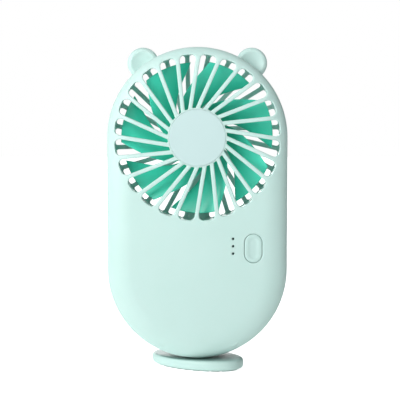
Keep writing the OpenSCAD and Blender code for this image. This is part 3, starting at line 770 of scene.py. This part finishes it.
def cap_seat():
    """The shallow seat of the hub disc, with an eased edge, and the hole of its peg."""
    return turned([(0, -CLEAR), (CAP_R + 0.2 * MM, -CLEAR), (CAP_R + 0.12 * MM, 0),
                   (CAP_R + 0.06 * MM, 0.04 * MM), (CAP_R + 0.04 * MM, 0.12 * MM),
                   (CAP_R + 0.04 * MM, 1 * MM), (CAP_PEG_R, 1 * MM), (CAP_PEG_R, 3 * MM), (0, 3 * MM)],
                  Vector((0, -HALF_T, FAN.z)))


def front_shell(half):
    """The front half with its posts, grille and holes."""
    sink, board_seat = 0.4 * MM, -6.6 * MM
    posts = rods(CASE_SCREWS, CASE_POST_R, -IN_T - sink, 0)
    posts += rods(BOARD_SCREWS, BOARD_POST_R, -IN_T - sink, board_seat)
    shell = combine(half, joined(posts), "UNION")
    shell = combine(shell, slot_cutters(**FRONT_SLOTS), "DIFFERENCE")
    holes = [cap_seat(), button_hole(), usb_hole(), spindle_room(), *(light_hole(p) for p in LIGHTS)]
    holes += rods(CASE_SCREWS, CASE_PILOT_R, -9 * MM, CLEAR)
    holes += rods(BOARD_SCREWS, BOARD_PILOT_R, -10 * MM, -5 * MM)
    return combine(shell, joined(holes), "DIFFERENCE")


def motor_cup():
    """The ring that holds the motor."""
    mouth, sink = -0.4 * MM, 0.4 * MM
    return turned([(CUP_IN_R, mouth), (CUP_R, mouth), (CUP_R, -IN_T - sink), (CUP_IN_R, -IN_T - sink),
                   (CUP_IN_R, mouth)], Vector((0, 0, FAN.z)))


def screw_well(at):
    """The well of a case screw: a wide mouth, the seat of the head and the hole of the thread."""
    face = -HALF_T + crown(at.x, at.y)
    ease, seat, lead = 0.3 * MM, -6 * MM, 0.5 * MM
    mouth = CASE_HEAD_R + lead
    return turned([(0, -FAR_OUT), (mouth, -FAR_OUT), (mouth, face - ease), (CASE_HEAD_R, face + ease),
                   (CASE_HEAD_R, seat), (CASE_THREAD_R, seat), (CASE_THREAD_R, CLEAR), (0, CLEAR)],
                  Vector((at.x, 0, at.y)), steps=48)


def rear_shell(half):
    """Built facing the front like its partner, then mirrored to the back."""
    strut, tunnel, sink = 3.2 * MM, 1.4 * MM, 0.2 * MM
    slots = slot_cutters(**REAR_SLOTS)
    keep = block((-strut, -FAR_OUT, FAN.z - END_R), (strut, 0, FAN.z))
    half = combine(half, combine(slots, keep, "DIFFERENCE"), "DIFFERENCE")
    strut_low, strut_high = FAN.z - 32 * MM, FAN.z - 10.3 * MM
    parts = [motor_cup(), block((-strut, -IN_T - 0.1 * MM, strut_low), (strut, -9 * MM, strut_high))]
    parts += rods(CASE_SCREWS, CASE_SOCKET_R, -IN_T - sink, 0)
    for side in (-1, 1):
        near, far = sorted((side * 24.2 * MM, side * 25.2 * MM))
        parts.append(block((near, -IN_T - sink, 26 * MM), (far, -4.7 * MM, 44 * MM)))
    shell = combine(half, joined(parts), "UNION")
    holes = [block((-tunnel, -IN_T, FAN.z - END_R), (tunnel, -9.8 * MM, FAN.z - 8 * MM)), spindle_room()]
    holes += [screw_well(p) for p in CASE_SCREWS]
    return mirrored(combine(shell, joined(holes), "DIFFERENCE"), 1)


# ---------------------------------------------------------------- fan wheel

BLADES = 7
BLADE_STEP = math.tau / BLADES
TIP_R = 27.9 * MM
ROOT_R = 10.2 * MM
# The curve of the gap between two blades: its radius in mm, and degrees there, per mm and per mm squared
GAP_R = 21.4
GAP_TURN = 43
GAP_SLOPE = 2.2
GAP_BEND = 0.0864
SECTION_STEPS = 14


def gap_turn(r):
    """The middle of the gap between two blades, clockwise from the top, at a radius."""
    out = r / MM - GAP_R
    return math.radians(GAP_TURN + GAP_SLOPE * out - GAP_BEND * out * out)


def gap_half(r):
    """Half the angle of the gap between two blades at a radius."""
    return 0.18 * (r - 8.6 * MM) / r


def blade_section(r, turn, share):
    """One section of a blade: a thin cambered plate with rounded edges, twisted by its radius."""
    out = (r - ROOT_R) / (TIP_R - ROOT_R)
    half = BLADE_STEP / 2 - gap_half(r)
    middle = turn + gap_turn(r) + BLADE_STEP / 2
    pitch = math.radians(30 - 7 * out)
    mid_y = (-6.0 + 0.7 * out) * MM
    camber = 0.7 * MM
    thick = (1.15 - 0.35 * out) * MM * share / 2
    points = []
    there = range(SECTION_STEPS + 1)
    for face, row in ((-1, there), (1, reversed(there))):
        for i in row:
            along = -math.cos(math.pi * i / SECTION_STEPS)
            swell = math.sqrt(math.sin(math.pi * (i + 0.35) / 14.7))
            y = mid_y + along * half * r * math.tan(pitch) + camber * (along * along - 0.5) * out
            flat = clock(r, middle + along * half)
            points.append(Vector((flat.x, y + face * thick * swell, FAN.z + flat.y)))
    return points


def blade(turn):
    """A blade from root to tip, thinned off at the tip."""
    span = TIP_R - ROOT_R
    radii = [(ROOT_R + span * i / 14 * 0.985, 1) for i in range(15)]
    radii += [(TIP_R - 0.12 * MM, 0.75), (TIP_R - 0.03 * MM, 0.4), (TIP_R, 0.02)]
    return loft([blade_section(r, turn, share) for r, share in radii])


def impeller():
    """The hub, open at the back round the motor, with its blades."""
    front, back, r, wall = -10.4 * MM, -3.8 * MM, 10.6 * MM, 1.2 * MM
    edge = 1.1 * MM
    profile = [(0, front), (r - edge, front)]
    profile += [(r - edge + edge * math.sin(a), front + edge * (1 - math.cos(a)))
                for a in (0.3, 0.6, 0.9, 1.2, math.pi / 2)]
    profile += [(r, back), (r - wall, back), (r - wall, front + wall + 0.6 * MM),
                (r - wall - 0.6 * MM, front + wall), (2.9 * MM, front + wall), (2.6 * MM, front + 1.6 * MM),
                (2.6 * MM, -4.3 * MM), (1 * MM, -4.3 * MM), (1 * MM, front + 0.6 * MM),
                (0, front + 0.6 * MM)]
    wheel = turned(profile, Vector((0, 0, FAN.z)), steps=112)
    blades = joined([blade(BLADE_STEP * k) for k in range(BLADES)])
    return combine(wheel, blades, "UNION")


# ---------------------------------------------------------------- small pieces

def hub_cap():
    """The disc pressed into the front of the grille, very slightly dished, with a rounded edge."""
    face, back, edge = -HALF_T - 0.1 * MM, -HALF_T + 1 * MM, 0.22 * MM
    profile = [(0, face + 0.05 * MM), (3 * MM, face + 0.045 * MM), (6 * MM, face + 0.02 * MM),
               (8.4 * MM, face)]
    profile += [(CAP_R - edge + edge * math.sin(a), face + edge * (1 - math.cos(a)))
                for a in (0, 0.25, 0.5, 0.75, 1.0, 1.25, math.pi / 2)]
    profile += [(CAP_R, back), (CAP_PEG_R, back), (CAP_PEG_R, -IN_T - 0.2 * MM),
                (CAP_PEG_R - 0.2 * MM, -IN_T), (0, -IN_T)]
    return turned(profile, Vector((0, 0, FAN.z)), steps=160)


def power_button():
    """Lip, crowned cap with a dished face, and the stem that meets the switch."""
    lip, face = -10.9 * MM, -HALF_T
    skirt = ((-0.9, 0.8), (-0.9, 0.0), (0, 0.0))
    loops = [at_depth([p + BUTTON for p in stadium(BUTTON_W - 2 * out * MM, BUTTON_H - 2 * out * MM)],
                      lip + deep * MM) for out, deep in skirt]
    rise = ((0, 0.42), (0.05, 0.24), (0.17, 0.10), (0.32, 0.03), (0.48, 0), (1.15, 0), (1.35, 0.03),
            (1.60, 0.10), (1.9, 0.17), (2.3, 0.21), (2.8, 0.22))
    loops += [at_depth([p + BUTTON for p in stadium(BUTTON_W - 2 * out * MM, BUTTON_H - 2 * out * MM)],
                       face + deep * MM) for out, deep in rise]
    stem = rod(Vector((BUTTON.x, 0, BUTTON.y)), 1.5 * MM, -10.6 * MM, -9.5 * MM)
    return combine(loft(loops), stem, "UNION")


def light_guide():
    """Three short pins with domed ends on one block."""
    low = LIGHTS[0]
    high = LIGHTS[2]
    half = 1.6 * MM
    guide = block((low.x - half, -IN_T, low.y - 1.3 * MM), (high.x + half, -8.6 * MM, high.y + 1.3 * MM))
    bmesh.ops.bevel(guide, geom=guide.edges[:], offset=0.3 * MM, offset_type="OFFSET", segments=3,
                    profile=0.5, affect="EDGES", material=-1)
    r = 0.48 * MM
    pins = [turned([(0, 0), (r * 0.5, 0.03 * MM), (r * 0.85, 0.1 * MM), (r, 0.22 * MM), (r, 1.9 * MM),
                    (0, 1.9 * MM)], Vector((p.x, -HALF_T + 0.15 * MM, p.y)), steps=32) for p in LIGHTS]
    return combine(guide, joined(pins), "UNION")


FOOT_TURN = math.radians(-32)
FOOT_L = 37.6 * MM
FOOT_W = 23 * MM
FOOT_LOW = 0.5 * MM
FOOT_HIGH = 4.2 * MM


def foot_oval(inset, z, steps=120):
    """The foot's outline at a height, drawn in a little."""
    points = []
    for i in range(steps):
        a = math.tau * i / steps
        points.append(Vector(((FOOT_L / 2 - inset) * math.cos(a), (FOOT_W / 2 - inset) * math.sin(a), z)))
    return points


def foot_plate():
    """The oval plate with rounded edges, the seat of its pad and the bore of its screw."""
    edge, steps = 1.2 * MM, 7
    loops = []
    for i in range(steps + 1):
        a = 0.5 * math.pi * i / steps
        loops.append(foot_oval(edge * (1 - math.sin(a)), FOOT_LOW + edge * (1 - math.cos(a))))
    for i in range(steps, -1, -1):
        a = 0.5 * math.pi * i / steps
        loops.append(foot_oval(edge * (1 - math.sin(a)), FOOT_HIGH - edge * (1 - math.cos(a))))
    plate = loft(loops)
    seat = loft([foot_oval(1.6 * MM, z) for z in (-1 * MM, FOOT_LOW + 0.3 * MM)])
    bore = turned([(0, -1 * MM), (2.6 * MM, -1 * MM), (2.6 * MM, 2.2 * MM), (1.3 * MM, 2.2 * MM),
                   (1.3 * MM, 6 * MM), (0, 6 * MM)], Vector(), axis=(0, 0, 1), steps=48)
    plate = combine(combine(plate, seat, "DIFFERENCE"), bore, "DIFFERENCE")
    bmesh.ops.rotate(plate, cent=Vector(), matrix=Matrix.Rotation(FOOT_TURN, 3, "Z"), verts=plate.verts)
    return plate


def foot_pad():
    """The soft sheet under the foot, with shallow grooves across it."""
    top = FOOT_LOW + 0.3 * MM
    inset = 1.7 * MM
    pad = loft([foot_oval(inset + 0.15 * MM, 0), foot_oval(inset, 0.15 * MM), foot_oval(inset, top)])
    pitch, half, deep = 3.4 * MM, 0.4 * MM, 0.25 * MM
    grooves = [block((k * pitch - half, -FOOT_W, -CLEAR), (k * pitch + half, FOOT_W, deep))
               for k in range(-4, 5)]
    pad = combine(pad, joined(grooves), "DIFFERENCE")
    bmesh.ops.rotate(pad, cent=Vector(), matrix=Matrix.Rotation(FOOT_TURN, 3, "Z"), verts=pad.verts)
    return pad


# ---------------------------------------------------------------- the model

finish_cad_nodes()
HALF = plain_half()
piece("front_shell_skin", front_shell(HALF.copy()), MINT, "body", ["front_shell"])
piece("rear_shell_skin", rear_shell(HALF), MINT, "body", ["rear_shell"])
piece("hub_cap_disc", hub_cap(), CAP_MINT, "body", ["hub_cap"])
piece("light_guide_pins", light_guide(), GUIDE, "body", ["light_guide"])
piece("power_button_cap", power_button(), MINT_BUTTON, "button", ["power_button"])
piece("impeller_wheel", impeller(), TEAL, "rotor", ["impeller"])
piece("foot_plate_skin", foot_plate(), FOOT_MINT, "foot", ["foot_plate"])
piece("foot_pad_sheet", foot_pad(), PAD_RUBBER, "foot", ["foot_pad"])


# ---------------------------------------------------------------- floor, light and camera

def floor():
    """A white floor that glows to the eye and lights the object less."""
    bm = bmesh.new()
    bmesh.ops.create_grid(bm, x_segments=1, y_segments=1, size=3)
    obj = as_object("floor", bm)
    material, tree, shader = empty_material("white_floor")
    grain = add(tree, "ShaderNodeTexNoise", {"Scale": 30.0, "Detail": 2.0})
    tone = two_tone(tree, grain.outputs["Fac"], 0.3, 0.7, (0.93, 0.93, 0.93), (0.91, 0.91, 0.91))
    tree.links.new(tone, shader.inputs["Base Color"])
    shader.inputs["Emission Color"].default_value = (1, 1, 1, 1)
    path = add(tree, "ShaderNodeLightPath")
    glow = from_mask(tree, path.outputs["Is Camera Ray"], 0.30, 0.85)
    tree.links.new(glow, shader.inputs["Emission Strength"])
    shader.inputs["Roughness"].default_value = 0.9
    shader.inputs["Specular IOR Level"].default_value = 0.1
    obj.data.materials.append(material)


def panel(name, place, aim, size, power):
    """A soft square studio light."""
    light = bpy.data.lights.new(name, "AREA")
    light.shape = "SQUARE"
    light.size = size
    light.energy = power
    obj = bpy.data.objects.new(name, light)
    obj.location = place
    obj.rotation_euler = (Vector(aim) - Vector(place)).to_track_quat("-Z", "Y").to_euler()
    obj.visible_camera = False
    SCENE.collection.objects.link(obj)


def studio_world():
    """White to the eye; on the object, bright from the left and dimmer from the right."""
    world = bpy.data.worlds.new("studio")
    world.use_nodes = True
    tree = world.node_tree
    seen = tree.nodes["Background"]
    seen.inputs["Color"].default_value = (1, 1, 1, 1)
    lit = add(tree, "ShaderNodeBackground")
    way = add(tree, "ShaderNodeTexCoord")
    split = add(tree, "ShaderNodeSeparateXYZ")
    tree.links.new(way.outputs["Generated"], split.inputs[0])
    across = add(tree, "ShaderNodeMapRange", {"From Min": -1, "From Max": 1})
    tree.links.new(split.outputs["X"], across.inputs["Value"])
    ramp = add(tree, "ShaderNodeValToRGB")
    stops = ramp.color_ramp.elements
    stops[0].color = (0.80, 0.80, 0.80, 1)
    stops[1].color = (0.02, 0.02, 0.02, 1)
    for place, bright in ((0.40, 0.53), (0.62, 0.33), (0.80, 0.12), (0.92, 0.03)):
        stops.new(place).color = (bright, bright, bright, 1)
    tree.links.new(across.outputs[0], ramp.inputs["Fac"])
    height = add(tree, "ShaderNodeMapRange",
                 {"From Min": 0.1, "From Max": 1, "To Min": 1.0, "To Max": 1.05})
    tree.links.new(split.outputs["Z"], height.inputs["Value"])
    tree.links.new(ramp.outputs["Color"], lit.inputs["Color"])
    tree.links.new(height.outputs[0], lit.inputs["Strength"])
    path = add(tree, "ShaderNodeLightPath")
    mix = add(tree, "ShaderNodeMixShader")
    tree.links.new(path.outputs["Is Camera Ray"], mix.inputs[0])
    tree.links.new(lit.outputs[0], mix.inputs[1])
    tree.links.new(seen.outputs[0], mix.inputs[2])
    tree.links.new(mix.outputs[0], tree.nodes["World Output"].inputs["Surface"])
    SCENE.world = world


def camera():
    """A long lens a little above the object's middle, in front of it."""
    lens = bpy.data.cameras.new("camera")
    lens.lens = 106.0
    lens.sensor_width = 36
    lens.clip_start = 0.01
    obj = bpy.data.objects.new("camera", lens)
    obj.location = (-0.001, -0.440, 0.090)
    obj.rotation_euler = (Vector((0.001, 0, 0.0625)) - obj.location).to_track_quat("-Z", "Y").to_euler()
    SCENE.collection.objects.link(obj)
    SCENE.camera = obj


floor()
studio_world()
panel("key", (-0.22, -0.27, 0.20), (0, 0, 0.065), 0.22, 1.0)
panel("crown_light", (0.06, -0.08, 0.20), (0.01, 0, 0.10), 0.05, 0.03)
panel("low_fill", (-0.10, -0.20, 0.012), (0, 0, 0.004), 0.06, 0.02)
panel("back_fill", (-0.10, 0.55, 0.10), (0, 0, 0.09), 0.3, 1.4)
camera()
SCENE.view_settings.view_transform = "Standard"
SCENE.view_settings.look = "None"
